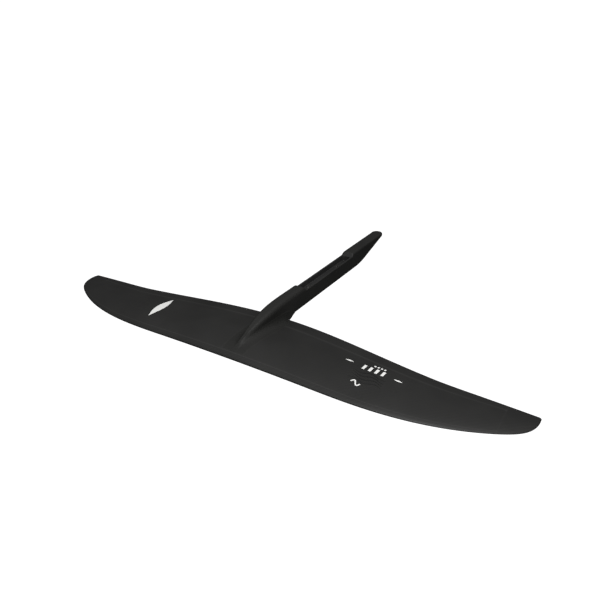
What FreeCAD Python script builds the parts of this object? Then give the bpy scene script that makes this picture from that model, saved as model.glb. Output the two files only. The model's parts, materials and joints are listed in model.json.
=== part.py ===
import FreeCAD, Part
import math
import os

from FreeCAD import Vector

# Hydrofoil front wing with its forward fuselage moulded on, and a seat for the mast on top.
# Millimetres. +X port, +Y aft, +Z up. Everything is laid out from a datum on the chord plane, just
# ahead of the wing's middle, then moved so that the origin is the middle of the mast seat's floor.

# ---- driving dimensions -------------------------------------------------------------------
# wing, seen from above
HALF_SPAN = 450.0
LEADING_EDGE = 1.0          # place of the leading edge in the middle
SWEEP = 89.0                # how far aft the leading edge has swept at the tip
SWEEP_START = 144.0         # the leading edge is straight inboard of this
SWEEP_POWER = 2.7
TIP_CORNER = 31.0           # depth of the rounded corner between leading edge and tip
TIP_CORNER_POWER = 46.0     # higher is tighter
TRAILING_EDGE = 155.5       # place of the trailing edge in the middle
TAPER = 30.4                # the trailing edge comes forward by this much
TAPER_END = 345.0
TIP_KICK = 5.2              # and goes aft again by this much at the tip
TIP_KICK_START = 300.0
TIP_TRAILING_ROUND = 4.0    # corner radius between trailing edge and tip

# wing, seen from ahead and from the side
DROOP = 17.0
THICKNESS_ROOT = 0.105      # of the chord
THICKNESS_TIP = 0.080
CAMBER = 0.020
CAMBER_PLACE = 0.40
TRAILING_THICKNESS = 0.8
SKIN_ROOT, SKIN_TIP = 1.2, 0.8
CAP_ROOT, CAP_TIP = 1.5, 0.5

# seams inside the wing; a chordwise seam is the square root of its share of the chord
SEAM_FRONT = 0.25
SEAM_SPAR_FRONT = 0.54
SEAM_SPAR_REAR = 0.60
SEAM_REAR = 0.90
ROOT_BLOCK_HALF = 24.0
TIP_BLOCK_START = 405.0

# fuselage
HALF_WIDTH = 12.5
NOSE_NARROWING = 0.42       # width at the nose's start, as a share of the full width
NARROWING_END = 130.0       # full width aft of this
CROWN = 39.7                # top of the nose above the chord plane
TAIL_CROWN = 36.8           # the top has fallen to this at the tail's end
CROWN_ROUNDING = 0.62       # radius of the nose's upper edges, as a share of its half width
ROUNDING_END = 200.0        # the upper edges sharpen aft of this
TAIL_CROWN_RADIUS = 3.0
BELLY = 3.5
BELLY_START = 158.0         # the underside rises clear of the chord plane over the next run
BELLY_RUN = 20.0
BELLY_RADIUS = 1.0
NOSE_START = 18.0           # inside the wing, a little below its skin
NOSE_END = 165.0            # the crown is highest here
NOSE_HEIGHT = 6.0
NOSE_POWER = 2.4
TAIL_END = 552.0
TAIL_THICKNESS = 3.2
TAIL_ROUND = 12.0           # corner radius of the tail's end, seen from above
CORNER_LAP = 0.2            # the corner's arc starts this far outside the side it rounds
BEVEL_START = 437.0         # where the belly and the sloped face would meet
BEVEL_CURVE = 155.0         # radius of the curve that leads one into the other
CURVE_LAP = 0.05            # the curve starts this far below the belly
SHELL = 1.5
INSET_RUN = 34.0            # the shell's floor forms over this run ahead of the trailing edge
SHELL_JOIN = 14.0           # height of the seam between the upper and lower shells
NOSE_BLOCK_END = 205.0
SEAT_BLOCK_END = 418.0
SECTION_STEP = 9.0          # between the nose's sections; the tail is nearly straight
NOSE_SECTIONS = 20
TAIL_SECTIONS = 6

# fillets between the wing and the fuselage's sides
FILLET_FRONT = 17.0         # width on the wing, ahead and behind
FILLET_REAR = 10.0
FILLET_WIDE_END = 60.0      # it narrows between these two places
FILLET_NARROW_START = 150.0
FILLET_FADE_START = 110.0   # and narrows again, towards the trailing edge
FILLET_FADE = 0.25
FILLET_SECTIONS = 19        # the last ones run on behind the wing, along the underside's edge
FILLET_SINK = 1.2           # it is sunk this far into the wing, to be cut to its skin
FILLET_FLOOR = 3.0
FILLET_LAP = 0.5            # and this far into the fuselage's sides

# mast seat
SEAT_START = 219.0
SEAT_END = 399.0
SEAT_RIM = 31.3
SEAT_STEP = 7.0             # run of the sloped step at each end of the seat
POCKET_DEPTH = 10.8
POCKET_HALF_WIDTH = 8.9
POCKET_INSET = 3.0          # between the pocket's end and the step
POCKET_ROUND = 6.0

# mast bolts (M8) and tail screws (M6)
BOLT_SPACING = 110.0
BOLT_HOLE_R = 4.25
SLEEVE_R = 6.5
SINK_R = 8.6                # countersunk head
SINK_DEPTH = 4.4
FLANGE_LIP = 1.5            # the sleeve's flange round the countersink
TAIL_SCREW_PLACES = (464.0, 504.0)
TAIL_HOLE_R = 2.5
INSERT_R = 4.5
INSERT_LENGTH = 10.0

# ---- worked out ---------------------------------------------------------------------------
SEAT_MIDDLE = (SEAT_START + SEAT_END) / 2
SEAT_FLOOR = SEAT_RIM - POCKET_DEPTH
ORIGIN = Vector(0, SEAT_MIDDLE, SEAT_FLOOR)
BEVEL_ANGLE = math.atan2(TAIL_CROWN - TAIL_THICKNESS - BELLY, TAIL_END - BEVEL_START)
STATIONS_PER_SIDE = 26
CHORD_POINTS = 14
FAR = 2000.0                # longer than the whole part, for cutting tools


def smooth_step(value, low, high):
    """0 below low, 1 above high, and a smooth rise between them."""
    share = min(max((value - low) / (high - low), 0.0), 1.0)
    return share * share * (3 - 2 * share)


def blend(a, b, share):
    return a + (b - a) * share


# ---- wing surface -------------------------------------------------------------------------
def leading_edge(x):
    share = max(0.0, (abs(x) - SWEEP_START) / (HALF_SPAN - SWEEP_START))
    corner = 1 - math.sqrt(max(0.0, 1 - (abs(x) / HALF_SPAN) ** TIP_CORNER_POWER))
    return LEADING_EDGE + SWEEP * share ** SWEEP_POWER + TIP_CORNER * corner


def trailing_edge(x):
    taper = 0.5 - 0.5 * math.cos(math.pi * min(abs(x) / TAPER_END, 1.0))
    kick = max(0.0, (abs(x) - TIP_KICK_START) / (HALF_SPAN - TIP_KICK_START))
    into_corner = max(0.0, 1 - (HALF_SPAN - abs(x)) / TIP_TRAILING_ROUND)
    corner = TIP_TRAILING_ROUND * (1 - math.sqrt(1 - into_corner ** 2))
    return TRAILING_EDGE - TAPER * taper + TIP_KICK * kick - corner


def camber_line(share):
    """Height of a four-digit camber line, as a share of the chord."""
    if share < CAMBER_PLACE:
        return CAMBER * (2 * CAMBER_PLACE - share) * share / CAMBER_PLACE ** 2
    rest = 1 - CAMBER_PLACE
    return CAMBER * (1 - 2 * CAMBER_PLACE + (2 * CAMBER_PLACE - share) * share) / rest ** 2


def half_thickness(share):
    """Half thickness of a four-digit section with a closed trailing edge, for unit thickness."""
    return 5 * (0.2969 * math.sqrt(share) - 0.1260 * share - 0.3516 * share ** 2
                + 0.2843 * share ** 3 - 0.1036 * share ** 4)


def wing_point(root_share, x, side, depth_root, depth_tip):
    """Point of the wing at a chordwise place; side is +1 above, -1 below; depth is inwards."""
    out = abs(x) / HALF_SPAN
    share = root_share ** 2
    chord = trailing_edge(x) - leading_edge(x)
    thickness = blend(THICKNESS_ROOT, THICKNESS_TIP, out) * chord
    half = half_thickness(share) * thickness + TRAILING_THICKNESS * share / 2
    half -= blend(depth_root, depth_tip, out)
    z = camber_line(share) * chord + side * half - DROOP * out ** 2
    return Vector(x, leading_edge(x) + share * chord, z)


def span_parameter(x):
    return math.asin(max(-1.0, min(1.0, x / HALF_SPAN))) * 2 / math.pi


def span_stations():
    """Stations from tip to tip, close together at the root and at the tips."""
    half = [HALF_SPAN * (1 - math.cos(math.pi * k / STATIONS_PER_SIDE)) / 2
            for k in range(STATIONS_PER_SIDE + 1)]
    return [-x for x in reversed(half[1:])] + half


def spline_through(points, parameters):
    curve = Part.BSplineCurve()
    curve.interpolate(Points=points, Parameters=parameters)
    return curve


def layer(side, depth_root=0.0, depth_tip=0.0):
    """One smooth surface of the wing from tip to tip, on the skin or at a depth below it."""
    places = [k / (CHORD_POINTS - 1) for k in range(CHORD_POINTS)]
    stations = span_stations()
    spans = [span_parameter(x) for x in stations]
    chords = [spline_through([wing_point(place, x, side, depth_root, depth_tip)
                              for place in places], places) for x in stations]
    rows = [spline_through(list(row), spans) for row in zip(*[c.getPoles() for c in chords])]
    surface = Part.BSplineSurface()
    surface.buildFromPolesMultsKnots(
        [row.getPoles() for row in rows],
        chords[0].getMultiplicities(), rows[0].getMultiplicities(),
        chords[0].getKnots(), rows[0].getKnots(), False, False,
        chords[0].Degree, rows[0].Degree)
    return surface


def solid_from(faces):
    shell = Part.makeShell(faces)
    shell.sewShape()
    solid = Part.makeSolid(Part.Shell(shell.Faces))
    if solid.Volume < 0:
        solid.reverse()
    return solid


def cell(upper, lower, front, rear, inner, outer):
    """Solid between two layers, from one chordwise seam to another and between two spans."""
    patches = []
    for surface in (upper, lower):
        patch = surface.copy()
        patch.segment(front, rear, inner, outer)
        patches.append(patch)
    faces = [patch.toShape() for patch in patches]
    rims = [(patches[0].uIso(front), patches[1].uIso(front)),
            (patches[0].uIso(rear), patches[1].uIso(rear)),
            (patches[0].vIso(inner), patches[1].vIso(inner)),
            (patches[0].vIso(outer), patches[1].vIso(outer))]
    for above, below in rims:
        middle = (above.FirstParameter + above.LastParameter) / 2
        if above.value(middle).distanceToPoint(below.value(middle)) > 1e-6:
            faces.append(Part.makeRuledSurface(above.toShape(), below.toShape()))
    return solid_from(faces)


def make_wing():
    """The wing's pieces by name, and the whole wing as one solid to cut the fuselage with."""
    tip = 1.0
    tip_seam = span_parameter(TIP_BLOCK_START)
    root_seam = span_parameter(ROOT_BLOCK_HALF)
    cap_root, cap_tip = SKIN_ROOT + CAP_ROOT, SKIN_TIP + CAP_TIP
    top, bottom = layer(+1), layer(-1)
    top_core, bottom_core = layer(+1, SKIN_ROOT, SKIN_TIP), layer(-1, SKIN_ROOT, SKIN_TIP)
    top_web, bottom_web = layer(+1, cap_root, cap_tip), layer(-1, cap_root, cap_tip)

    front_zone = (SEAM_FRONT, SEAM_SPAR_FRONT)
    spar_zone = (SEAM_SPAR_FRONT, SEAM_SPAR_REAR)
    rear_zone = (SEAM_SPAR_REAR, SEAM_REAR)
    skin_zone = (SEAM_FRONT, SEAM_REAR)
    across = (-tip_seam, tip_seam)
    pieces = {
        "wing_upper_skin": cell(top, top_core, *skin_zone, *across),
        "wing_lower_skin": cell(bottom_core, bottom, *skin_zone, *across),
        "leading_edge_bead": cell(top, bottom, 0.0, SEAM_FRONT, *across),
        "trailing_edge_strip": cell(top, bottom, SEAM_REAR, 1.0, *across),
        "upper_spar_cap": cell(top_core, top_web, *spar_zone, *across),
        "lower_spar_cap": cell(bottom_web, bottom_core, *spar_zone, *across),
        "spar_web": cell(top_web, bottom_web, *spar_zone, *across),
        "port_tip_block": cell(top, bottom, 0.0, 1.0, tip_seam, tip),
        "starboard_tip_block": cell(top, bottom, 0.0, 1.0, -tip, -tip_seam),
        "root_blocks": Part.Compound([
            cell(top_core, bottom_core, *front_zone, -root_seam, root_seam),
            cell(top_core, bottom_core, *rear_zone, -root_seam, root_seam)]),
    }
    for name, inner, outer in (("port", root_seam, tip_seam), ("starboard", -tip_seam, -root_seam)):
        pieces[name + "_front_core"] = cell(top_core, bottom_core, *front_zone, inner, outer)
        pieces[name + "_rear_core"] = cell(top_core, bottom_core, *rear_zone, inner, outer)
    return pieces, cell(top, bottom, 0.0, 1.0, -tip, tip)


# ---- fuselage -----------------------------------------------------------------------------
def wing_height(y, side):
    """Height of the wing's upper (+1) or lower (-1) surface on the centre line."""
    share = min(max((y - LEADING_EDGE) / (TRAILING_EDGE - LEADING_EDGE), 0.0), 1.0)
    return wing_point(math.sqrt(share), 0.0, side, 0.0, 0.0).z


def crown_height(y):
    """Top of the fuselage: a nose that climbs out of the wing, then a slight fall to the tail."""
    if y > NOSE_END:
        return blend(CROWN, TAIL_CROWN, (y - NOSE_END) / (TAIL_END - NOSE_END))
    left = min((NOSE_END - y) / (NOSE_END - NOSE_START), 1.0)
    return blend(CROWN, NOSE_HEIGHT, left ** NOSE_POWER)


def half_width(y):
    return HALF_WIDTH * blend(NOSE_NARROWING, 1.0, smooth_step(y, NOSE_START, NARROWING_END))


def crown_radius(y):
    """Radius of the fuselage's upper edges, which sharpen from the nose to the tail."""
    sharpened = min(max((y - ROUNDING_END) / (TAIL_END - ROUNDING_END), 0.0), 1.0)
    return blend(CROWN_ROUNDING * half_width(y), TAIL_CROWN_RADIUS, sharpened)


def belly_height(y, inset):
    """Underside: inside the wing as far as the trailing edge, then clear of the chord plane."""
    under_wing = TRAILING_EDGE - INSET_RUN
    return (BELLY * smooth_step(y, BELLY_START, BELLY_START + BELLY_RUN)
            + inset * smooth_step(y, under_wing, TRAILING_EDGE))


def body_section(y, inset):
    """Rounded rectangle across the fuselage, as a closed wire of lines and corner arcs."""
    half = half_width(y) - inset
    top, bottom = crown_height(y) - inset, belly_height(y, inset)
    radius = min(crown_radius(y) - inset / 2, 0.6 * (top - bottom))
    foot = min(BELLY_RADIUS - inset / 2, 0.25 * (top - bottom))
    corners = [(half, top, radius), (-half, top, radius), (-half, bottom, foot), (half, bottom, foot)]
    edges = []
    for k, (x, z, r) in enumerate(corners):
        toward_x, toward_z = -math.copysign(1, x), (-1 if z == top else 1)
        on_side = Vector(x, y, z + toward_z * r)
        on_flat = Vector(x + toward_x * r, y, z)
        cut = r * (1 - math.sqrt(0.5))
        mid = Vector(x + toward_x * cut, y, z + toward_z * cut)
        start, end = (on_side, on_flat) if k % 2 == 0 else (on_flat, on_side)
        edges.append((start, mid, end))
    parts = []
    for k, (start, mid, end) in enumerate(edges):
        parts.append(Part.Arc(start, mid, end).toShape())
        parts.append(Part.LineSegment(end, edges[(k + 1) % 4][0]).toShape())
    return Part.Wire(parts)


def body_loft(inset):
    places = [NOSE_START + SECTION_STEP * k for k in range(NOSE_SECTIONS)]
    start, end = places[-1], TAIL_END + SECTION_STEP
    places += [blend(start, end, k / TAIL_SECTIONS) for k in range(1, TAIL_SECTIONS + 1)]
    return Part.makeLoft([body_section(y, inset) for y in places], True, False)


def slab(y0, y1, z0=-FAR, z1=FAR):
    """Block that covers the fuselage's whole width between two places along it."""
    return Part.makeBox(FAR, y1 - y0, z1 - z0, Vector(-FAR / 2, y0, z0))


def across(outline):
    """Prism through the fuselage's whole width from an outline of (y, z) points."""
    points = [Vector(-FAR / 2, y, z) for y, z in outline]
    return Part.Face(Part.makePolygon(points + points[:1])).extrude(Vector(FAR, 0, 0))


def tail_end_tool(inset):
    """Everything aft of the tail's end, which has rounded corners seen from above."""
    radius = TAIL_ROUND - inset
    centre_x = HALF_WIDTH + CORNER_LAP - TAIL_ROUND
    centre_y = TAIL_END - TAIL_ROUND
    tool = slab(TAIL_END - inset, FAR)
    for side in (-1, 1):
        low_x = min(side * centre_x, side * FAR)
        corner = Part.makeBox(FAR - centre_x, FAR, FAR, Vector(low_x, centre_y, -FAR / 2))
        round_post = Part.makeCylinder(radius, FAR, Vector(side * centre_x, centre_y, -FAR / 2))
        tool = tool.fuse(corner.cut(round_post))
    return tool


def bevel_tool(inset):
    """Everything below the sloped face that the tail plane bolts to, which starts in a long curve."""
    centre_y = BEVEL_START - BEVEL_CURVE * math.tan(BEVEL_ANGLE / 2) - CURVE_LAP / math.tan(BEVEL_ANGLE)
    centre_z = BELLY - CURVE_LAP + BEVEL_CURVE
    radius = BEVEL_CURVE - inset
    start, middle, end = [Vector(-FAR / 2, centre_y + radius * math.sin(turn), centre_z - radius * math.cos(turn))
                          for turn in (0, BEVEL_ANGLE / 2, BEVEL_ANGLE)]
    past_tail = end + Vector(0, math.cos(BEVEL_ANGLE), math.sin(BEVEL_ANGLE)) * TAIL_END
    below = [Vector(-FAR / 2, y, -FAR) for y in (past_tail.y, start.y)]
    rim = [end, past_tail, *below, start]
    lines = [Part.LineSegment(a, b).toShape() for a, b in zip(rim, rim[1:])]
    return Part.Face(Part.Wire([Part.Arc(start, middle, end).toShape()] + lines)).extrude(Vector(FAR, 0, 0))


def seat_recess():
    """The lowered top between the two sections, with a sloped step at each end."""
    rise = CROWN - SEAT_RIM
    above = 4 * rise
    lean = SEAT_STEP / rise * above
    return across([(SEAT_START, SEAT_RIM), (SEAT_END, SEAT_RIM),
                   (SEAT_END + lean, SEAT_RIM + above), (SEAT_START - lean, SEAT_RIM + above)])


def pocket_ends():
    return SEAT_START + POCKET_INSET, SEAT_END - POCKET_INSET


def seat_pocket():
    """Round-cornered slot that the mast's foot stands in."""
    start, end = pocket_ends()
    box = Part.makeBox(2 * POCKET_HALF_WIDTH, end - start, CROWN,
                       Vector(-POCKET_HALF_WIDTH, start, SEAT_FLOOR))
    upright = [e for e in box.Edges if abs(e.tangentAt(e.FirstParameter).z) > 0.99]
    return box.makeFillet(POCKET_ROUND, upright)


def fillet_section(y):
    """Concave flare that leads the wing's upper surface up the fuselage's sides."""
    width = blend(FILLET_FRONT, FILLET_REAR, smooth_step(y, FILLET_WIDE_END, FILLET_NARROW_START))
    reach_x = width * blend(1.0, FILLET_FADE, smooth_step(y, FILLET_FADE_START, TRAILING_EDGE))
    reach_x *= blend(1.0, FILLET_FADE, smooth_step(y, TRAILING_EDGE, BELLY_START + BELLY_RUN))
    surface = wing_height(y, +1) + belly_height(y, 0.0)
    thickness = wing_height(y, +1) - wing_height(y, -1)
    foot = surface - min(FILLET_SINK, 0.25 * thickness)
    base = foot - min(FILLET_FLOOR, 0.2 * thickness)
    climb = max(crown_height(y) - foot, 0.5)
    reach_z = min(0.72 * climb, reach_x + FILLET_SINK)
    half = half_width(y) - FILLET_LAP
    port = Part.BezierCurve()
    port.setPoles([Vector(half + reach_x, y, foot), Vector(half, y, foot), Vector(half, y, foot + reach_z)])
    starboard = Part.BezierCurve()
    starboard.setPoles([Vector(-half, y, foot + reach_z), Vector(-half, y, foot),
                        Vector(-half - reach_x, y, foot)])
    top = Part.LineSegment(Vector(half, y, foot + reach_z), Vector(-half, y, foot + reach_z))
    under = [Vector(-half - reach_x, y, foot), Vector(-half - reach_x, y, base),
             Vector(half + reach_x, y, base), Vector(half + reach_x, y, foot)]
    return Part.Wire([port.toShape(), top.toShape(), starboard.toShape()]
                     + [Part.LineSegment(a, b).toShape() for a, b in zip(under, under[1:])])


def root_fillets(body, wing):
    """Both fillets, left by the body and the wing; behind the wing they stay beside the underside."""
    places = [NOSE_START + SECTION_STEP * k for k in range(FILLET_SECTIONS)]
    flare = Part.makeLoft([fillet_section(y) for y in places], True, False)
    half = HALF_WIDTH - BELLY_RADIUS
    underside = Part.makeBox(2 * half, FAR, FAR, Vector(-half, TRAILING_EDGE, -FAR / 2))
    return flare.cut(body).cut(wing).cut(underside)


def bolt_places():
    return [SEAT_MIDDLE - BOLT_SPACING / 2, SEAT_MIDDLE + BOLT_SPACING / 2]


def upright(radius, y, z0, z1):
    return Part.makeCylinder(radius, z1 - z0, Vector(0, y, z0), Vector(0, 0, 1))


def mast_bolt_sleeve(y):
    """Flanged bush through the seat: clear for an M8 bolt, countersunk from below."""
    sink = Part.makeCone(SINK_R, BOLT_HOLE_R, SINK_DEPTH, Vector(0, y, BELLY), Vector(0, 0, 1))
    flange = Part.makeCone(SINK_R + FLANGE_LIP, SLEEVE_R, SINK_DEPTH, Vector(0, y, BELLY), Vector(0, 0, 1))
    blank = flange.fuse(upright(SLEEVE_R, y, BELLY, SEAT_FLOOR)).removeSplitter()
    return blank, blank.cut(upright(BOLT_HOLE_R, y, BELLY - 1, SEAT_FLOOR + 1)).cut(sink)


def tail_insert(y):
    """Threaded bush let into the sloped face, square to it."""
    inward = Vector(0, -math.sin(BEVEL_ANGLE), math.cos(BEVEL_ANGLE))
    mouth = Vector(0, y, BELLY + (y - BEVEL_START) * math.tan(BEVEL_ANGLE))
    blank = Part.makeCylinder(INSERT_R, INSERT_LENGTH, mouth, inward)
    return blank, blank.cut(Part.makeCylinder(TAIL_HOLE_R, INSERT_LENGTH, mouth, inward))


def make_fuselage(wing):
    def shaped(inset):
        body = body_loft(inset).cut(tail_end_tool(inset)).cut(bevel_tool(inset))
        return body.cut(seat_recess()).cut(seat_pocket()).cut(wing)

    outer, inner = shaped(0.0), shaped(SHELL)
    shell = outer.cut(inner)
    sleeves = [mast_bolt_sleeve(y) for y in bolt_places()]
    inserts = [tail_insert(y) for y in TAIL_SCREW_PLACES]
    blanks = [blank for blank, _ in sleeves + inserts]

    block = inner.common(slab(NOSE_BLOCK_END, SEAT_BLOCK_END))
    frame = block.common(slab(-FAR, FAR, SEAT_FLOOR))
    pocket_start, pocket_end = pocket_ends()
    rail_start, rail_end = pocket_start + POCKET_ROUND, pocket_end - POCKET_ROUND
    pieces = {
        "nose_fairing": shell.common(slab(-FAR, SEAT_START)),
        "nose_core": inner.common(slab(-FAR, NOSE_BLOCK_END)),
        "root_fillets": root_fillets(outer, wing),
        "seat_side_walls": shell.common(slab(SEAT_START, SEAT_END, SHELL_JOIN)),
        "tail_upper_shell": shell.common(slab(SEAT_END, FAR, SHELL_JOIN)),
        "fuselage_lower_shell": shell.common(slab(SEAT_START, FAR, -FAR, SHELL_JOIN)),
        "mast_seat_base": block.common(slab(-FAR, FAR, -FAR, SEAT_FLOOR)),
        "mast_seat_rails": frame.common(slab(rail_start, rail_end)),
        "mast_seat_end_blocks": frame.cut(slab(rail_start, rail_end)),
        "tail_core": inner.common(slab(SEAT_BLOCK_END, FAR)),
    }
    for name in ("fuselage_lower_shell", "tail_upper_shell", "mast_seat_base", "tail_core"):
        for blank in blanks:
            pieces[name] = pieces[name].cut(blank)
    pieces["mast_bolt_sleeves"] = Part.Compound([sleeve for _, sleeve in sleeves])
    pieces["tail_thread_inserts"] = Part.Compound([insert for _, insert in inserts])
    return pieces


def write(pieces):
    os.makedirs("parts", exist_ok=True)
    for name, shape in sorted(pieces.items()):
        solids = sorted((s for s in shape.Solids if s.Volume > 1.0), key=lambda s: -s.Volume)
        placed = Part.Compound(solids) if len(solids) > 1 else solids[0]
        placed.translate(-ORIGIN)
        placed.exportStep("parts/" + name + ".step")
        box = placed.BoundBox
        print("%-22s %d solids  %10.1f mm3  valid %s  x %.1f..%.1f y %.1f..%.1f z %.1f..%.1f" % (
            name, len(solids), placed.Volume, placed.isValid(), box.XMin, box.XMax,
            box.YMin, box.YMax, box.ZMin, box.ZMax))


wing_pieces, whole_wing = make_wing()
write({**wing_pieces, **make_fuselage(whole_wing)})
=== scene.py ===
import json
import math

import bmesh
import bpy
import numpy as np
from mathutils import Matrix, Vector


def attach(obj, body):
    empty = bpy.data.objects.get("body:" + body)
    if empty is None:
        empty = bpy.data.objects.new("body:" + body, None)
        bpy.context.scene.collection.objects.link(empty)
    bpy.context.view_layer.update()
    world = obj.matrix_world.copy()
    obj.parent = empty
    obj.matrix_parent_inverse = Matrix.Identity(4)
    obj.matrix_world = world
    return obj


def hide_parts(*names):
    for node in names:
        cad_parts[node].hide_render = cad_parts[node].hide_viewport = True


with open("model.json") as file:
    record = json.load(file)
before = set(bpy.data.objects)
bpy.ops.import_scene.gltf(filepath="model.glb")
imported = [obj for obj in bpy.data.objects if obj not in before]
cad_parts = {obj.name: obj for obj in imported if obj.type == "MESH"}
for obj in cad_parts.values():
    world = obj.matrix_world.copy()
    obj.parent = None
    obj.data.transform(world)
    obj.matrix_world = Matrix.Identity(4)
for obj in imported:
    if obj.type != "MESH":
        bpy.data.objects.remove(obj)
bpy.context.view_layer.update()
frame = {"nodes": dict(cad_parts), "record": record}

# Looks of a hydrofoil front wing with its forward fuselage moulded on. The moulding is one smooth
# skin outside, so its laminates are meshed here from the same formulas as the CAD, and split at the
# same seams. The lengths below are in millimetres from the CAD's datum ahead of the wing's middle:
# +X port, +Y aft, +Z up. place() turns them into metres from the origin, the mast seat's floor.
MM = 0.001

# ---- driving dimensions, as in the CAD; only the fillets are taller and wider here ----------
HALF_SPAN = 450.0
LEADING_EDGE, TRAILING_EDGE = 1.0, 155.5
SWEEP, SWEEP_START, SWEEP_POWER = 89.0, 144.0, 2.7
TIP_CORNER, TIP_CORNER_POWER = 31.0, 46.0
TAPER, TAPER_END = 30.4, 345.0
TIP_KICK, TIP_KICK_START = 5.2, 300.0
TIP_TRAILING_ROUND = 4.0
DROOP = 17.0
THICKNESS_ROOT, THICKNESS_TIP = 0.105, 0.080
CAMBER, CAMBER_PLACE = 0.020, 0.40
TRAILING_THICKNESS = 0.8
SKIN_ROOT, SKIN_TIP = 1.2, 0.8
SEAM_FRONT, SEAM_REAR = 0.25, 0.90
TIP_BLOCK_START = 405.0

HALF_WIDTH = 12.5
NOSE_NARROWING, NARROWING_END = 0.42, 130.0
CROWN, TAIL_CROWN = 39.7, 36.8
CROWN_ROUNDING, ROUNDING_END, TAIL_CROWN_RADIUS = 0.62, 200.0, 3.0
BELLY, BELLY_START, BELLY_RUN, BELLY_RADIUS = 3.5, 158.0, 20.0, 1.0
NOSE_START, NOSE_END, NOSE_HEIGHT, NOSE_POWER = 18.0, 165.0, 6.0, 2.4
TAIL_END, TAIL_THICKNESS, TAIL_ROUND = 552.0, 3.2, 12.0
BEVEL_START, BEVEL_CURVE = 437.0, 155.0
FILLET_FRONT, FILLET_REAR, FILLET_RISE = 17.0, 13.0, 17.0
FILLET_WIDE_END, FILLET_NARROW_START = 60.0, 150.0
FILLET_FADE_START, FILLET_FADE = 135.0, 0.25
SHELL, SHELL_JOIN = 1.5, 14.0

SEAT_START, SEAT_END, SEAT_RIM, SEAT_STEP = 219.0, 399.0, 31.3, 7.0
POCKET_DEPTH, POCKET_HALF_WIDTH, POCKET_INSET, POCKET_ROUND = 10.8, 8.9, 3.0, 6.0
NOSE_BLOCK_END, SEAT_BLOCK_END = 205.0, 418.0
BOLT_SPACING, SLEEVE_R, FLANGE_R, FLANGE_DEPTH = 110.0, 6.5, 10.1, 4.4
TAIL_SCREW_PLACES, INSERT_R, INSERT_LENGTH = (464.0, 504.0), 4.5, 10.0

# ---- printed marks, as places on the wing --------------------------------------------------
PRINT_RISE, PRINT_SINK = 0.06, 0.1      # of the ink above the skin, and into it
OVAL_ENDS, OVAL_WIDTH = ((-208.0, 102.0), (-200.0, 31.0)), 17.0
MARKS_IN_ROW = 4
BAR_START, BAR_PITCH, BAR_LENGTH, BAR_WIDTH = (196.0, 80.0), 10.5, 13.0, 4.4
DASH_START, DASH_PITCH, DASH_LENGTH, DASH_WIDTH = (207.0, 99.0), 5.5, 3.0, 3.6
TICK_MIDDLES, TICK_LENGTH, TICK_WIDTH = ((169.0, 90.0), (253.0, 83.0)), 14.0, 3.6
WAVE_START, WAVE_LENGTH, WAVE_HEIGHT, WAVE_WIDTH = (196.0, 41.0), 15.0, 5.0, 2.2
TONAL_START, TONAL_PITCH, TONAL_LENGTH, TONAL_HEIGHT = (187.0, 49.0), 7.5, 52.0, 3.0
TONAL_TURNS, TONAL_LEAD, TONAL_WIDTH = 1.5, 0.15, 3.2
STROKE_POINTS, OVAL_POINTS, WAVE_POINTS = 12, 24, 30

# ---- the camera, from the CAD's datum -------------------------------------------------------
CAMERA_PLACE = (507.9, -600.1, 502.7)
CAMERA_AZIMUTH, CAMERA_ELEVATION = 31.91, 27.19
CAMERA_LENS, SENSOR = 35.21, 36.0

# ---- the studio, in metres ----------------------------------------------------------------
FLOOR = -1.2
BOWL_RADIUS, BOWL_BEND = 9.0, 3.0
LIGHTS = [("key", (0.85, -1.25, 1.5), (0.10, -0.2, 0.0), 1.0, 36.0),    # place, target, size, watts
          ("top", (0.60, -0.45, 1.9), (0.2, -0.2, 0.0), 1.2, 7.0)]
# the room's brightness against the height of the direction: -1 straight down, +1 straight up
ROOM_TONES = [(-1.0, 0.18), (-0.4, 0.04), (0.0, 0.03), (0.35, 0.05), (0.6, 0.22), (0.8, 0.50), (1.0, 0.60)]

# ---- worked out ---------------------------------------------------------------------------
SEAT_MIDDLE = (SEAT_START + SEAT_END) / 2
SEAT_FLOOR = SEAT_RIM - POCKET_DEPTH
ORIGIN = np.array([0.0, SEAT_MIDDLE, SEAT_FLOOR])
BEVEL_SLOPE = (TAIL_CROWN - TAIL_THICKNESS - BELLY) / (TAIL_END - BEVEL_START)
BEVEL_ANGLE = math.atan(BEVEL_SLOPE)
BEVEL_TANGENT = BEVEL_CURVE * math.tan(BEVEL_ANGLE / 2)
FILLET_END = BELLY_START + BELLY_RUN
RAIL_START = SEAT_START + POCKET_INSET + POCKET_ROUND      # the slot's straight sides
RAIL_END = SEAT_END - POCKET_INSET - POCKET_ROUND
NOSE_EASE = 1.2             # how softly the nose's top runs out into the wing
RIM_RADIUS = 0.9            # the moulding's soft edges, which the CAD leaves sharp
KEEL_SINK = 0.6             # the nose's skin ends this far inside the wing's
KEEL_CLOSE = 6.0            # and drops to the chord plane over this length, at the trailing edge
FILLET_SINK, FILLET_LAP = 0.3, 0.2      # the fillets reach this far into the wing, and into the nose
TRAILING_RADIUS = 0.3       # of the underside's edges just behind the wing
INSIDE_SINK = 3.0           # the inside reaches this far down into the wing, ahead of these two
INSIDE_OPEN, INSIDE_SHUT = 122.0, 142.0
POCKET_EDGE, POCKET_CORNER = 0.7, 1.0
STEP_SOFTNESS, END_SOFTNESS, TIP_EDGE = 0.8, 0.7, 2.2
FILLET_POINTS, ROUND_POINTS = 12, 48
MIRROR = np.array([-1.0, 1.0, 1.0])
FAR = 1000.0


def smooth_step(value, low, high):
    share = np.clip((value - low) / (high - low), 0.0, 1.0)
    return share * share * (3 - 2 * share)


def blend(a, b, share):
    return a + (b - a) * share


def place(points):
    return (np.asarray(points, float) - ORIGIN) * MM


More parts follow.
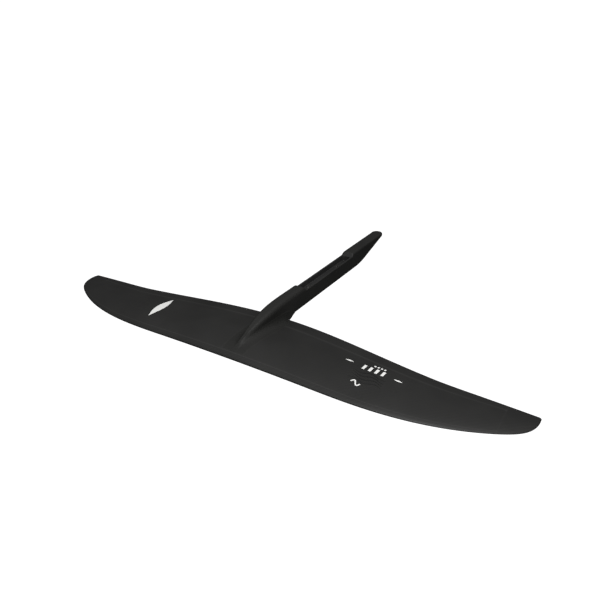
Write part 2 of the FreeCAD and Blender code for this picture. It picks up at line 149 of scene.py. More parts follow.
# ---- wing surface -------------------------------------------------------------------------
def leading_edge(x):
    share = np.maximum(0.0, (np.abs(x) - SWEEP_START) / (HALF_SPAN - SWEEP_START))
    corner = 1 - np.sqrt(np.maximum(0.0, 1 - (np.abs(x) / HALF_SPAN) ** TIP_CORNER_POWER))
    return LEADING_EDGE + SWEEP * share ** SWEEP_POWER + TIP_CORNER * corner


def trailing_edge(x):
    taper = 0.5 - 0.5 * np.cos(np.pi * np.minimum(np.abs(x) / TAPER_END, 1.0))
    kick = np.maximum(0.0, (np.abs(x) - TIP_KICK_START) / (HALF_SPAN - TIP_KICK_START))
    into_corner = np.maximum(0.0, 1 - (HALF_SPAN - np.abs(x)) / TIP_TRAILING_ROUND)
    corner = TIP_TRAILING_ROUND * (1 - np.sqrt(1 - into_corner ** 2))
    return TRAILING_EDGE - TAPER * taper + TIP_KICK * kick - corner


def camber_line(share):
    rest = 1 - CAMBER_PLACE
    ahead = CAMBER * (2 * CAMBER_PLACE - share) * share / CAMBER_PLACE ** 2
    behind = CAMBER * (1 - 2 * CAMBER_PLACE + (2 * CAMBER_PLACE - share) * share) / rest ** 2
    return np.where(share < CAMBER_PLACE, ahead, behind)


def half_thickness(share):
    """Half thickness along the chord of a four-digit wing section that is as thick as it is long."""
    return 5 * (0.2969 * np.sqrt(share) - 0.1260 * share - 0.3516 * share ** 2
                + 0.2843 * share ** 3 - 0.1036 * share ** 4)


def wing_height(x, y, side, depth=0.0):
    """Height of the wing's surface over a place in plan; side is +1 above, -1 below."""
    out = np.abs(x) / HALF_SPAN
    chord = trailing_edge(x) - leading_edge(x)
    share = np.clip((y - leading_edge(x)) / chord, 0.0, 1.0)
    thickness = blend(THICKNESS_ROOT, THICKNESS_TIP, out) * chord
    half = half_thickness(share) * thickness + TRAILING_THICKNESS * share / 2 - depth
    return camber_line(share) * chord + side * half - DROOP * out ** 2


def wing_row(seams, x, side, depth=0.0):
    """Points across the wing at one station, at square-root chordwise places."""
    y = leading_edge(x) + seams ** 2 * (trailing_edge(x) - leading_edge(x))
    return np.stack([np.full_like(y, x), y, wing_height(x, y, side, depth)], axis=1)


# ---- mesh building ------------------------------------------------------------------------
def make_object(name, vertices, faces):
    mesh = bpy.data.meshes.new(name)
    mesh.from_pydata([tuple(v) for v in place(vertices)], [], faces)
    mesh.update()
    piece = bpy.data.objects.new(name, mesh)
    bpy.context.collection.objects.link(piece)
    return piece


def settle(piece, sharp_degrees=32.0):
    """Outward faces, smooth shading, and sharp edges where the faces turn by more than an angle."""
    work = bmesh.new()
    work.from_mesh(piece.data)
    bmesh.ops.remove_doubles(work, verts=work.verts, dist=1e-7)
    bmesh.ops.recalc_face_normals(work, faces=work.faces)
    work.to_mesh(piece.data)
    work.free()
    piece.data.polygons.foreach_set("use_smooth", [True] * len(piece.data.polygons))
    piece.data.set_sharp_from_angle(angle=math.radians(sharp_degrees))
    return piece


def loft(name, loops):
    """Closed solid through closed loops that all have the same number of points."""
    loops = np.asarray(loops)
    rows, columns = loops.shape[:2]
    faces = []
    for i in range(rows - 1):
        for j in range(columns):
            k = (j + 1) % columns
            faces.append((i * columns + j, i * columns + k, (i + 1) * columns + k, (i + 1) * columns + j))
    faces.append(tuple(range(columns)))
    faces.append(tuple((rows - 1) * columns + j for j in reversed(range(columns))))
    return settle(make_object(name, loops.reshape(-1, 3), faces))


def apply_modifiers(piece):
    evaluated = piece.evaluated_get(bpy.context.evaluated_depsgraph_get())
    mesh = bpy.data.meshes.new_from_object(evaluated)
    piece.modifiers.clear()
    piece.data = mesh


def combine(piece, tool, operation):
    """Boolean of a piece with a tool, which is kept."""
    step = piece.modifiers.new("combine", "BOOLEAN")
    step.operation, step.solver, step.object = operation, "EXACT", tool
    apply_modifiers(piece)
    return piece


def cut_away(piece, tool):
    combine(piece, tool, "DIFFERENCE")
    bpy.data.objects.remove(tool)


def box_tool(lows, highs):
    low = [-FAR if v is None else v for v in lows]
    high = [FAR if v is None else v for v in highs]
    ring = [(low[0], low[1]), (high[0], low[1]), (high[0], high[1]), (low[0], high[1])]
    return loft("tool", [[(x, y, z) for x, y in ring] for z in (low[2], high[2])])


def join(name, parts):
    """One object from several: the first takes the meshes of the rest, which are removed."""
    joined = bmesh.new()
    for part in parts:
        joined.from_mesh(part.data)
    joined.to_mesh(parts[0].data)
    joined.free()
    for part in parts[1:]:
        bpy.data.objects.remove(part)
    parts[0].name = parts[0].data.name = name
    return parts[0]


def slice_of(source, name, *boxes):
    """The parts of a solid inside some boxes, each a pair of corners with None for no limit."""
    slices = []
    for lows, highs in boxes:
        piece = source.copy()
        piece.data = source.data.copy()
        bpy.context.collection.objects.link(piece)
        tool = box_tool(lows, highs)
        combine(piece, tool, "INTERSECT")
        bpy.data.objects.remove(tool)
        slices.append(piece)
    return join(name, slices)


# ---- wing pieces --------------------------------------------------------------------------
def spread(*runs):
    """Places from runs of (start, step), the last run being (end,)."""
    places = [np.arange(start, after[0] - step / 2, step) for (start, step), after in zip(runs, runs[1:])]
    return np.concatenate(places + [[runs[-1][0]]])


def span_between_tips():
    half = spread((0.0, 1.5), (33.0, 4.5), (TIP_BLOCK_START,))
    return np.concatenate([-half[:0:-1], half])


def skin_depth(x):
    return blend(SKIN_ROOT, SKIN_TIP, abs(x) / HALF_SPAN)


def wing_skin(name, side):
    seams = np.linspace(SEAM_FRONT, SEAM_REAR, 40)
    return loft(name, [np.concatenate([wing_row(seams, x, side),
                                       wing_row(seams[::-1], x, side, skin_depth(x))])
                       for x in span_between_tips()])


def wing_edge(name, seams):
    """Solid strip round the wing's front or rear, from one upper seam to the lower one."""
    closed = 0 if seams[-1] else 1      # at the leading edge both surfaces share one point
    return loft(name, [np.concatenate([wing_row(seams, x, +1), wing_row(seams[::-1], x, -1)[closed:]])
                       for x in span_between_tips()])


def tip_block(name, side):
    """Tip that thins to a rounded edge over its last few millimetres."""
    round_start = HALF_SPAN - TIP_EDGE
    across = np.linspace(0.0, 1.0, 44)
    loops = []
    for x in HALF_SPAN - (HALF_SPAN - TIP_BLOCK_START) * np.linspace(1.0, 0.0, 70) ** 2.2:
        upper = wing_row(across, x, +1)
        lower = wing_row(across, x, -1)
        into = max(0.0, (x - round_start) / TIP_EDGE)
        thin = math.sqrt(max(0.0, 1 - into ** 2)) + 0.02
        middle = (upper[:, 2] + lower[:, 2]) / 2
        for row in (upper, lower):
            row[:, 2] = middle + (row[:, 2] - middle) * min(thin, 1.0)
            row[:, 0] *= side
        loops.append(np.concatenate([upper, lower[:0:-1]]))
    return loft(name, loops)


# ---- fuselage outline ---------------------------------------------------------------------
def soft_min(a, b, softness):
    return (a + b - np.sqrt((a - b) ** 2 + softness ** 2)) / 2


def soft_positive(value, softness):
    return (value + np.sqrt(value ** 2 + softness ** 2)) / 2


def crown_height(y):
    if y > NOSE_END:
        return blend(CROWN, TAIL_CROWN, (y - NOSE_END) / (TAIL_END - NOSE_END))
    left = (NOSE_END - y) / (NOSE_END - NOSE_START)
    return blend(CROWN, NOSE_HEIGHT, left ** NOSE_POWER)


def seat_height(y):
    """Top of the lowered seat, which rises in a slope at each end."""
    outside = soft_positive(max(SEAT_START - y, y - SEAT_END), STEP_SOFTNESS)
    return SEAT_RIM + outside * (CROWN - SEAT_RIM) / SEAT_STEP


def half_width(y):
    return HALF_WIDTH * blend(NOSE_NARROWING, 1.0, smooth_step(y, NOSE_START, NARROWING_END))


def crown_radius(y, lowered):
    """Radius of the upper edges, which sharpen from the nose to the tail and more in the seat."""
    sharpened = np.clip((y - ROUNDING_END) / (TAIL_END - ROUNDING_END), 0.0, 1.0)
    radius = blend(CROWN_ROUNDING * half_width(y), TAIL_CROWN_RADIUS, sharpened)
    return blend(radius, RIM_RADIUS, lowered)


def fillet_reach(y):
    """Width of the fillet on the wing, which narrows towards the trailing edge and ends behind it."""
    reach = blend(FILLET_FRONT, FILLET_REAR, smooth_step(y, FILLET_WIDE_END, FILLET_NARROW_START))
    reach *= blend(1.0, FILLET_FADE, smooth_step(y, FILLET_FADE_START, TRAILING_EDGE))
    return reach * blend(1.0, FILLET_FADE, smooth_step(y, TRAILING_EDGE, FILLET_END))


def conic(start, corner, end, count):
    """Arc from start to end with its tangents meeting in a corner; a quarter circle if they are square."""
    t = np.linspace(0.0, 1.0, count)[:, None]
    weights = [(1 - t) ** 2, math.sqrt(2) * t * (1 - t), t ** 2]
    total = sum(weights)
    return sum(w * np.array(p, float) for w, p in zip(weights, (start, corner, end))) / total


def line(start, end, count):
    """Points from just after the start to the end."""
    return np.linspace(start, end, count + 1)[1:]


def stand(y):
    """How the fuselage stands on the wing: its foot, height, crown and fillet heights, lean and slope."""
    base = float(wing_height(0.0, y, +1)) + belly_height(y)
    height = soft_positive(crown_height(y) - base, NOSE_EASE)
    radius, reach = crown_radius(y, 0.0), fillet_reach(y)
    rise = FILLET_RISE * blend(1.0, FILLET_FADE, smooth_step(y, TRAILING_EDGE, FILLET_END))
    high, low = min(radius, 0.40 * height), min(rise, 0.45 * height)
    lean = min(reach / 8, radius / 6.5, height / 5) * (1 - smooth_step(height, 8, 26))
    return base, height, high, low, lean, 2 * lean / (height - high - low)


def fillet_strip(y):
    """Concave port strip (x, z) from its foot on the wing up to its seam with the fuselage's side."""
    base, _, _, low, lean, slope = stand(y)
    half = half_width(y)
    toe = (half + fillet_reach(y), 0)
    strip = conic(toe, (half + lean + slope * low, 0), (half + lean, low), FILLET_POINTS)
    drop = wing_height(strip[:, 0], y, +1) + belly_height(y) - base
    strip[:, 1] += base + drop * (1 - strip[:, 1] / max(low, 1e-6))
    return strip


def nose_half(y):
    """Port half (x, z) of the fuselage over the wing, from its crown down into the wing's skin."""
    base, height, high, low, lean, slope = stand(y)
    half = half_width(y)
    shoulder = (half - lean, base + height - high)
    waist = (half + lean, base + low)
    corner = (half - lean - slope * high, base + height)
    edge = (half - crown_radius(y, 0.0), base + height)
    keel = blend(base - KEEL_SINK, 0.0, smooth_step(y, TRAILING_EDGE - KEEL_CLOSE, TRAILING_EDGE))
    return np.concatenate([[(0.0, base + height)], line((0.0, base + height), edge, 5),
                           conic(edge, corner, shoulder, 9)[1:], line(shoulder, waist, 12),
                           line(waist, (waist[0], keel), 6), line((waist[0], keel), (0.0, keel), 5)])


def belly_height(y):
    return BELLY * float(smooth_step(y, BELLY_START, BELLY_START + BELLY_RUN))


def keel_height(y):
    """Underside aft of the wing: level, then a long curve into the sloped face."""
    bend = np.clip(y - (BEVEL_START - BEVEL_TANGENT), 0.0, BEVEL_CURVE * math.sin(BEVEL_ANGLE))
    curve = BEVEL_CURVE - math.sqrt(BEVEL_CURVE ** 2 - bend ** 2)
    slope = max(0.0, y - BEVEL_START - BEVEL_TANGENT * math.cos(BEVEL_ANGLE)) * BEVEL_SLOPE
    return belly_height(y) + curve + slope


def aft_half(y):
    """Port half (x, z) of the fuselage behind the wing, with the seat and the bevelled tail."""
    into = max(0.0, y - (TAIL_END - TAIL_ROUND)) / TAIL_ROUND
    softened = max(0.0, (y - TAIL_END) / END_SOFTNESS + 1)
    soft = END_SOFTNESS * (1 - math.sqrt(max(0.0, 1 - softened ** 2)))
    half = HALF_WIDTH - TAIL_ROUND * (1 - math.sqrt(max(0.0, 1 - into ** 2)))
    crown = crown_height(y)
    top = soft_min(crown, seat_height(y), STEP_SOFTNESS) - soft
    lowered = min(max((crown - top) / (crown - SEAT_RIM), 0.0), 1.0)
    keel = keel_height(y) + soft
    radius = min(crown_radius(y, lowered), 0.45 * (top - keel), 0.9 * half)
    foot = blend(TRAILING_RADIUS, BELLY_RADIUS, smooth_step(y, BELLY_START, FILLET_END))
    foot = min(foot, 0.25 * (top - keel), 0.9 * half)
    edge, shoulder, waist = (half - radius, top), (half, top - radius), (half, keel + foot)
    return np.concatenate([[(0.0, top)], line((0.0, top), edge, 5),
                           conic(edge, (half, top), shoulder, 9)[1:], line(shoulder, waist, 12),
                           conic(waist, (half, keel), (half - foot, keel), 7)[1:],
                           line((half - foot, keel), (0.0, keel), 5)])


def closed_section(y, half):
    """Closed loop across the fuselage at one place, from its port half."""
    both = np.concatenate([half, half[-2:0:-1] * [-1.0, 1.0]])
    return np.stack([both[:, 0], np.full(len(both), y), both[:, 1]], axis=1)


def fuselage_outside():
    places = spread((12.0, 1.5), (150.0, 1.0), (180.0, 4.0), (206.0, 0.8), (223.0, 6.0), (395.0, 0.8),
                    (412.0, 3.0), (BEVEL_START + 24.0, 6.0), (TAIL_END - TAIL_ROUND,))
    tail = TAIL_END - TAIL_ROUND * (1 - np.sin(line(0.0, math.pi / 2, 12)))
    places = np.concatenate([places, tail[:-1], [TAIL_END - 0.4, TAIL_END - 0.1, TAIL_END]])
    places = np.unique(np.round(places, 3))
    return loft("outside", [closed_section(y, nose_half(y) if y < TRAILING_EDGE + 1.0 else aft_half(y))
                            for y in places])


def inside_half(y):
    """Port half of the space inside the skins, open downwards into the wing."""
    half, top = half_width(y) - SHELL, crown_height(y) - SHELL
    keel = keel_height(y) + SHELL * smooth_step(y, INSIDE_OPEN, TRAILING_EDGE)
    keel -= INSIDE_SINK * (1 - smooth_step(y, INSIDE_OPEN, INSIDE_SHUT))
    radius = min(crown_radius(y, 0.0) - SHELL / 2, 0.45 * (top - keel))
    foot = 0.25 * min(BELLY_RADIUS, top - keel)
    return np.concatenate([[(0.0, top)],
                           conic((half - radius, top), (half, top), (half, top - radius), 8),
                           conic((half, keel + foot), (half, keel), (half - foot, keel), 5),
                           [(0.0, keel)]])


def fuselage_inside():
    places = spread((40.0, 4.0), (BEVEL_START, 8.0), (TAIL_END - TAIL_ROUND,))
    return loft("inside", [closed_section(y, inside_half(y)) for y in places])


def seat_pocket():
    """Tool for the mast's slot: round-cornered, with a rounded floor corner and a flared rim."""
    quarter = np.linspace(0.0, math.pi / 2, 6)
    floor = [(-POCKET_CORNER * (1 - math.sin(a)), SEAT_FLOOR + POCKET_CORNER * (1 - math.cos(a)))
             for a in quarter]
    rim = [(POCKET_EDGE * (1 - math.cos(a)), SEAT_RIM - POCKET_EDGE * (1 - math.sin(a)))
           for a in quarter]
    over = [(POCKET_EDGE, CROWN + SEAT_STEP)]
    centre_x = POCKET_HALF_WIDTH - POCKET_ROUND
    corners = [(centre_x, RAIL_END, 0), (-centre_x, RAIL_END, 90),
               (-centre_x, RAIL_START, 180), (centre_x, RAIL_START, 270)]
    rings = []
    for grow, height in floor + rim + over:
        turn = POCKET_ROUND + grow
        ring = []
        for x, y, first in corners:
            for angle in np.radians(np.linspace(first, first + 90, 9)):
                ring.append((x + turn * math.cos(angle), y + turn * math.sin(angle), height))
        rings.append(ring)
    return loft("pocket", rings)


def round_tool(mouth, direction, rings):
    """Turned tool along a direction from a mouth; rings are (radius, depth) pairs."""
    direction = Vector(direction).normalized()
    turn = np.array(direction.to_track_quat("Z", "Y").to_matrix())
    angles = np.linspace(0, 2 * math.pi, ROUND_POINTS + 1)[:-1]
    loops = [np.stack([r * np.cos(angles), r * np.sin(angles), np.full(ROUND_POINTS, depth)], axis=1)
             for r, depth in rings]
    return loft("tool", [loop @ turn.T + np.array(mouth) for loop in loops])


def sleeve_tools():
    cone = (FLANGE_R - SLEEVE_R) / FLANGE_DEPTH
    rings = [(FLANGE_R + cone, -1.0), (SLEEVE_R, FLANGE_DEPTH), (SLEEVE_R, SEAT_FLOOR - BELLY + 1.0)]
    for y in (SEAT_MIDDLE - BOLT_SPACING / 2, SEAT_MIDDLE + BOLT_SPACING / 2):
        yield round_tool((0.0, y, BELLY), (0, 0, 1), rings)


def insert_tools():
    inward = (0.0, -math.sin(BEVEL_ANGLE), math.cos(BEVEL_ANGLE))
    for y in TAIL_SCREW_PLACES:
        mouth = (0.0, y, BELLY + (y - BEVEL_START) * BEVEL_SLOPE)
        yield round_tool(mouth, inward, [(INSERT_R, -3.0), (INSERT_R, INSERT_LENGTH)])


def root_fillets():
    """Both fillets, as closed strips that lie on the wing's skin and against the nose's sides."""
    halves = []
    for y in spread((13.0, 1.5), (150.0, 0.75), (FILLET_END,)):
        strip = fillet_strip(y)
        toe, top = strip[0], strip[-1]
        under_top = float(wing_height(top[0], y, +1)) + belly_height(y) - FILLET_SINK
        loop = np.concatenate([strip, [(top[0] - FILLET_LAP, under_top), (toe[0], toe[1] - FILLET_SINK)]])
        halves.append(np.stack([loop[:, 0], np.full(len(loop), y), loop[:, 1]], axis=1))
    halves = np.array(halves)
    return join("root_fillets", [loft("fillet", halves), loft("fillet", halves * MIRROR)])


def even_normals(piece):
    """Shading normals that keep large faces flat beside their rounded edges."""
    even = piece.modifiers.new("even", "WEIGHTED_NORMAL")
    even.keep_sharp = True
    apply_modifiers(piece)


def fuselage_pieces():
    outside, inside = fuselage_outside(), fuselage_inside()
    cut_away(outside, seat_pocket())
    block = slice_of(outside, "block",
                     ((None, NOSE_BLOCK_END, None), (None, SEAT_BLOCK_END, None)))
    combine(block, inside, "INTERSECT")
    shell = combine(outside, inside, "DIFFERENCE")
    bpy.data.objects.remove(inside)
    made = {
        "nose_fairing": slice_of(shell, "fairing", ((None, None, None), (None, SEAT_START, None))),
        "seat_side_walls": slice_of(shell, "side_walls",
                                    ((None, SEAT_START, SHELL_JOIN), (None, SEAT_END, None))),
        "tail_upper_shell": slice_of(shell, "tail_shell",
                                     ((None, SEAT_END, SHELL_JOIN), (None, None, None))),
        "fuselage_lower_shell": slice_of(shell, "lower_shell",
                                         ((None, SEAT_START, None), (None, None, SHELL_JOIN))),
        "mast_seat_base": slice_of(block, "seat_base", ((None, None, None), (None, None, SEAT_FLOOR))),
        "mast_seat_rails": slice_of(block, "seat_rails",
                                    ((None, RAIL_START, SEAT_FLOOR), (None, RAIL_END, None))),
        "mast_seat_end_blocks": slice_of(block, "seat_end_blocks",
                                         ((None, None, SEAT_FLOOR), (None, RAIL_START, None)),
                                         ((None, RAIL_END, SEAT_FLOOR), (None, None, None))),
    }
    bpy.data.objects.remove(shell)
    bpy.data.objects.remove(block)
    for name in ("mast_seat_base", "fuselage_lower_shell"):
        for tool in sleeve_tools():
            cut_away(made[name], tool)
    for name in ("tail_upper_shell", "fuselage_lower_shell"):
        for tool in insert_tools():
            cut_away(made[name], tool)
    for piece in made.values():
        settle(piece)
        even_normals(piece)
    made["root_fillets"] = root_fillets()
    return made


# ---- printed marks ------------------------------------------------------------------------
def ribbon(name, path, widths):
    """Thin printed stroke that lies on the wing's upper skin along a path of (x, y) points."""
    path = np.asarray(path, float)
    along = np.gradient(path, axis=0)
    along /= np.linalg.norm(along, axis=1)[:, None]
    side = np.stack([-along[:, 1], along[:, 0]], axis=1)
    loops = []
    for at, normal, width in zip(path, side, np.broadcast_to(widths, len(path))):
        across = [at + normal * width * share for share in np.linspace(-0.5, 0.5, 7)]
        upper = [(x, y, float(wing_height(x, y, +1)) + PRINT_RISE) for x, y in across]
        lower = [(x, y, z - PRINT_RISE - PRINT_SINK) for x, y, z in upper]
        loops.append(upper + lower[::-1])
    return loft(name, loops)


def stroke(start, end, count=STROKE_POINTS):
    return np.linspace(start, end, count)


def tapered(width, count=STROKE_POINTS):
    """Widths along a stroke that narrow almost to nothing at both ends, as a pointed oval."""
    return width * np.sin(np.linspace(0.03, math.pi - 0.03, count))


def wave(start, length, height, turns, lead=0.0):
    """Path of a sine wave along the span; lead is the part of a turn that it starts with."""
    share = np.linspace(0.0, 1.0, WAVE_POINTS)
    rise = height * np.sin(2 * math.pi * (turns * share + lead))
    return np.stack([start[0] + length * share, start[1] + rise], axis=1)


def printed_marks():
    """Plain generic shapes where the real wing carries print."""
    starboard = [ribbon("oval", stroke(*OVAL_ENDS, OVAL_POINTS), tapered(OVAL_WIDTH, OVAL_POINTS))]
    port = []
    for k in range(MARKS_IN_ROW):
        x = BAR_START[0] + BAR_PITCH * k
        port.append(ribbon("bar", stroke((x, BAR_START[1]), (x, BAR_START[1] + BAR_LENGTH)), BAR_WIDTH))
    for k in range(MARKS_IN_ROW):
        x, y = DASH_START[0] + DASH_PITCH * k, DASH_START[1]
        port.append(ribbon("dash", stroke((x, y), (x + DASH_LENGTH, y)), DASH_WIDTH))
    for x, y in TICK_MIDDLES:
        port.append(ribbon("tick", stroke((x - TICK_LENGTH / 2, y), (x + TICK_LENGTH / 2, y)),
                           tapered(TICK_WIDTH)))
    port.append(ribbon("wave", wave(WAVE_START, WAVE_LENGTH, WAVE_HEIGHT, 1.0), WAVE_WIDTH))
    tonal = []
    for k in range(MARKS_IN_ROW):
        start = (TONAL_START[0], TONAL_START[1] + TONAL_PITCH * k)
        path = wave(start, TONAL_LENGTH, TONAL_HEIGHT, TONAL_TURNS, TONAL_LEAD * k)
        widths = TONAL_WIDTH * np.sin(math.pi * np.linspace(0.04, 0.96, WAVE_POINTS))
        tonal.append(ribbon("tonal_print", path, widths))
    return join("starboard_print", starboard), join("port_print", port), join("tonal_print", tonal)


# ---- materials ----------------------------------------------------------------------------
TOW_WIDTH = 0.002           # in metres, as the materials' coordinates are
SIDEWAYS = 0.6              # a surface that faces sideways more than this takes its weave from z


class Graph:
    """A material's node tree, with short calls for the nodes used here."""

    def __init__(self, name):
        self.material = bpy.data.materials.new(name)
        self.material.use_nodes = True
        self.tree = self.material.node_tree
        self.shader = self.tree.nodes["Principled BSDF"]

    def link(self, source, target):
        if isinstance(source, (int, float)):
            target.default_value = source
        else:
            self.tree.links.new(source, target)

    def math(self, operation, a, b=0.0, c=0.0):
        node = self.tree.nodes.new("ShaderNodeMath")
        node.operation = operation
        for socket, value in zip(node.inputs, (a, b, c)):
            self.link(value, socket)
        return node.outputs[0]

    def point(self):
        """The surface point in metres."""
        return self.tree.nodes.new("ShaderNodeTexCoord").outputs["Object"]

    def split(self, vector):
        node = self.tree.nodes.new("ShaderNodeSeparateXYZ")
        self.link(vector, node.inputs[0])
        return node.outputs

    def noise(self, vector, scale, detail=3.0):
        node = self.tree.nodes.new("ShaderNodeTexNoise")
        node.inputs["Scale"].default_value = scale
        node.inputs["Detail"].default_value = detail
        self.link(vector, node.inputs["Vector"])
        return node.outputs[0]

    def spread(self, value, low, high, low_in=0.0, high_in=1.0):
        node = self.tree.nodes.new("ShaderNodeMapRange")
        for socket, number in zip(node.inputs[1:5], (low_in, high_in, low, high)):
            socket.default_value = number
        self.link(value, node.inputs[0])
        return node.outputs[0]

    def shade(self, colour, strength):
        """A colour scaled by a value."""
        node = self.tree.nodes.new("ShaderNodeVectorMath")
        node.operation = "SCALE"
        node.inputs[0].default_value = colour
        self.link(strength, node.inputs["Scale"])
        return node.outputs[0]

    def bump(self, height, distance, strength):
        node = self.tree.nodes.new("ShaderNodeBump")
        node.inputs["Distance"].default_value = distance
        node.inputs["Strength"].default_value = strength
        self.link(height, node.inputs["Height"])
        self.link(node.outputs[0], self.shader.inputs["Normal"])

    def edges(self):
        """Near 1 on convex edges, 0 elsewhere; the mask of the laminate's painted edge highlight."""
        geometry = self.tree.nodes.new("ShaderNodeNewGeometry")
        return self.spread(geometry.outputs["Pointiness"], 0.0, 1.0, 0.53, 0.62)

    def finish(self, colour, roughness, specular=0.5, metallic=0.0):
        self.link(colour, self.shader.inputs["Base Color"])
        self.link(roughness, self.shader.inputs["Roughness"])
        self.shader.inputs["Specular IOR Level"].default_value = specular
        self.shader.inputs["Metallic"].default_value = metallic
        return self.material


def twill(graph, point):
    """Two-by-two twill: 0 on the warp, 1 on the weft, and the tows' rounded height."""
    geometry = graph.tree.nodes.new("ShaderNodeNewGeometry")
    facing = graph.split(geometry.outputs["True Normal"])
    x, y, z = graph.split(point)
    sideways = graph.math("GREATER_THAN", graph.math("ABSOLUTE", facing[0]), SIDEWAYS)
    across = graph.math("ADD", graph.math("MULTIPLY", z, sideways),
                        graph.math("MULTIPLY", x, graph.math("SUBTRACT", 1.0, sideways)))
    u = graph.math("DIVIDE", across, TOW_WIDTH)
    v = graph.math("DIVIDE", y, TOW_WIDTH)
    step = graph.math("SUBTRACT", graph.math("FLOOR", u), graph.math("FLOOR", v))
    weft = graph.math("LESS_THAN", graph.math("FLOORED_MODULO", step, 4.0), 1.5)
    rounded = [graph.math("ABSOLUTE", graph.math("SINE", graph.math("MULTIPLY", value, math.pi)))
               for value in (u, v)]
    warp_height = graph.math("MULTIPLY", rounded[0], graph.math("SUBTRACT", 1.0, weft))
    return weft, graph.math("ADD", warp_height, graph.math("MULTIPLY", rounded[1], weft))


def laminate(name, colour, roughness, specular, weave_share):
    """Woven carbon under a satin coat: faint tows, cloudy tone, and convex edges lightened in the colour as
    a painted highlight.
    """
    graph = Graph(name)
    point = graph.point()
    weft, height = twill(graph, point)
    cloud = graph.noise(point, 14.0)
    grain = graph.noise(point, 2600.0, 2.0)
    tone = graph.math("ADD", graph.spread(cloud, 0.86, 1.14, 0.3, 0.7),
                      graph.math("MULTIPLY", weft, weave_share))
    # painted highlight: convex edges are lightened in the colour, as if light caught them
    tone = graph.math("ADD", tone, graph.math("MULTIPLY", graph.edges(), 0.9))
    graph.bump(graph.math("ADD", graph.math("MULTIPLY", height, 0.6), grain), 0.00002, 0.35)
    gloss = graph.math("ADD", graph.spread(cloud, roughness - 0.04, roughness + 0.05, 0.3, 0.7),
                       graph.math("MULTIPLY", weft, 0.03))
    return graph.finish(graph.shade(colour, tone), gloss, specular)


def bare_laminate(name, colour, roughness):
    """Unidirectional carbon: long fine fibres along the span."""
    graph = Graph(name)
    stretch = graph.tree.nodes.new("ShaderNodeMapping")
    stretch.inputs["Scale"].default_value = (8.0, 900.0, 900.0)
    graph.link(graph.point(), stretch.inputs[0])
    fibre = graph.noise(stretch.outputs[0], 1.0, 4.0)
    graph.bump(fibre, 0.00005, 0.4)
    return graph.finish(graph.shade(colour, graph.spread(fibre, 0.7, 1.4, 0.3, 0.7)),
                        graph.spread(fibre, roughness, roughness + 0.12, 0.3, 0.7), 0.5)


def foam(name, colour):
    """Closed-cell foam: fine pitted cells with a cloudy tone."""
    graph = Graph(name)
    point = graph.point()
    cells = graph.tree.nodes.new("ShaderNodeTexVoronoi")
    cells.inputs["Scale"].default_value = 1400.0
    graph.link(point, cells.inputs["Vector"])
    pits = graph.spread(cells.outputs["Distance"], 1.0, 0.0, 0.1, 0.7)
    tone = graph.math("MULTIPLY", graph.spread(pits, 0.78, 1.05),
                      graph.spread(graph.noise(point, 30.0), 0.92, 1.06))
    graph.bump(pits, 0.0003, 0.7)
    return graph.finish(graph.shade(colour, tone), graph.spread(pits, 0.95, 0.75), 0.3)


def turned_steel(name, colour):
    """Stainless steel with fine turning rings and slight smudges."""
    graph = Graph(name)
    point = graph.point()
    rings = graph.noise(graph.split(point)[2], 9000.0, 2.0)
    smudge = graph.noise(point, 180.0)
    graph.bump(rings, 0.00001, 0.4)
    tone = graph.math("ADD", graph.spread(smudge, 0.85, 1.05, 0.3, 0.7),
                      graph.math("MULTIPLY", rings, 0.08))
    return graph.finish(graph.shade(colour, tone), graph.spread(smudge, 0.22, 0.38, 0.3, 0.7),
                        specular=0.5, metallic=1.0)


def print_ink(name, colour, roughness, specular):
    """Thin screen print: slightly uneven cover and gloss."""
    graph = Graph(name)
    cover = graph.noise(graph.point(), 900.0, 4.0)
    graph.bump(cover, 0.00002, 0.3)
    return graph.finish(graph.shade(colour, graph.spread(cover, 0.93, 1.03, 0.3, 0.7)),
                        graph.spread(cover, roughness - 0.05, roughness + 0.06, 0.3, 0.7), specular)


def paper(name, colour, glow):
    """Plain pale backdrop, lit evenly from behind, with a hardly visible tooth."""
    graph = Graph(name)
    tooth = graph.noise(graph.point(), 250.0)
    graph.shader.inputs["Emission Color"].default_value = (1.0, 1.0, 1.0, 1.0)
    graph.shader.inputs["Emission Strength"].default_value = glow
    return graph.finish(graph.shade(colour, graph.spread(tooth, 0.995, 1.005)), 0.9, specular=0.1)


finishes = {
    "wing_laminate": laminate("wing_laminate", (0.0158, 0.0156, 0.0151), 0.50, 0.26, 0.10),
    "fuselage_laminate": laminate("fuselage_laminate", (0.0150, 0.0150, 0.0142), 0.50, 0.22, 0.10),
    "seat_laminate": laminate("seat_laminate", (0.0150, 0.0150, 0.0148), 0.55, 0.25, 0.06),
    "spar_laminate": bare_laminate("spar_laminate", (0.030, 0.030, 0.032), 0.35),
    "foam": foam("foam", (0.70, 0.68, 0.55)),
    "stainless": turned_steel("stainless", (0.58, 0.57, 0.55)),
}

# ---- put the pieces in place --------------------------------------------------------------
slots = {part["node"]: part["material_slot"] for part in frame["record"]["subparts"]}
pieces = {
    "wing_upper_skin": wing_skin("upper_skin", +1),
    "wing_lower_skin": wing_skin("lower_skin", -1),
    "leading_edge_bead": wing_edge("leading_edge", np.linspace(SEAM_FRONT, 0.0, 20)),
    "trailing_edge_strip": wing_edge("trailing_edge", np.linspace(SEAM_REAR, 1.0, 10)),
    "port_tip_block": tip_block("port_tip", +1),
    "starboard_tip_block": tip_block("starboard_tip", -1),
    **fuselage_pieces(),
}
for node, piece in pieces.items():
    piece.data.materials.clear()
    piece.data.materials.append(finishes[slots[node]])
    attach(piece, "root")
    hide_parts(node)
for node, cad_object in frame["nodes"].items():
    if node not in pieces:
        for place_in_object in cad_object.material_slots:
            place_in_object.material = finishes[slots[node]]

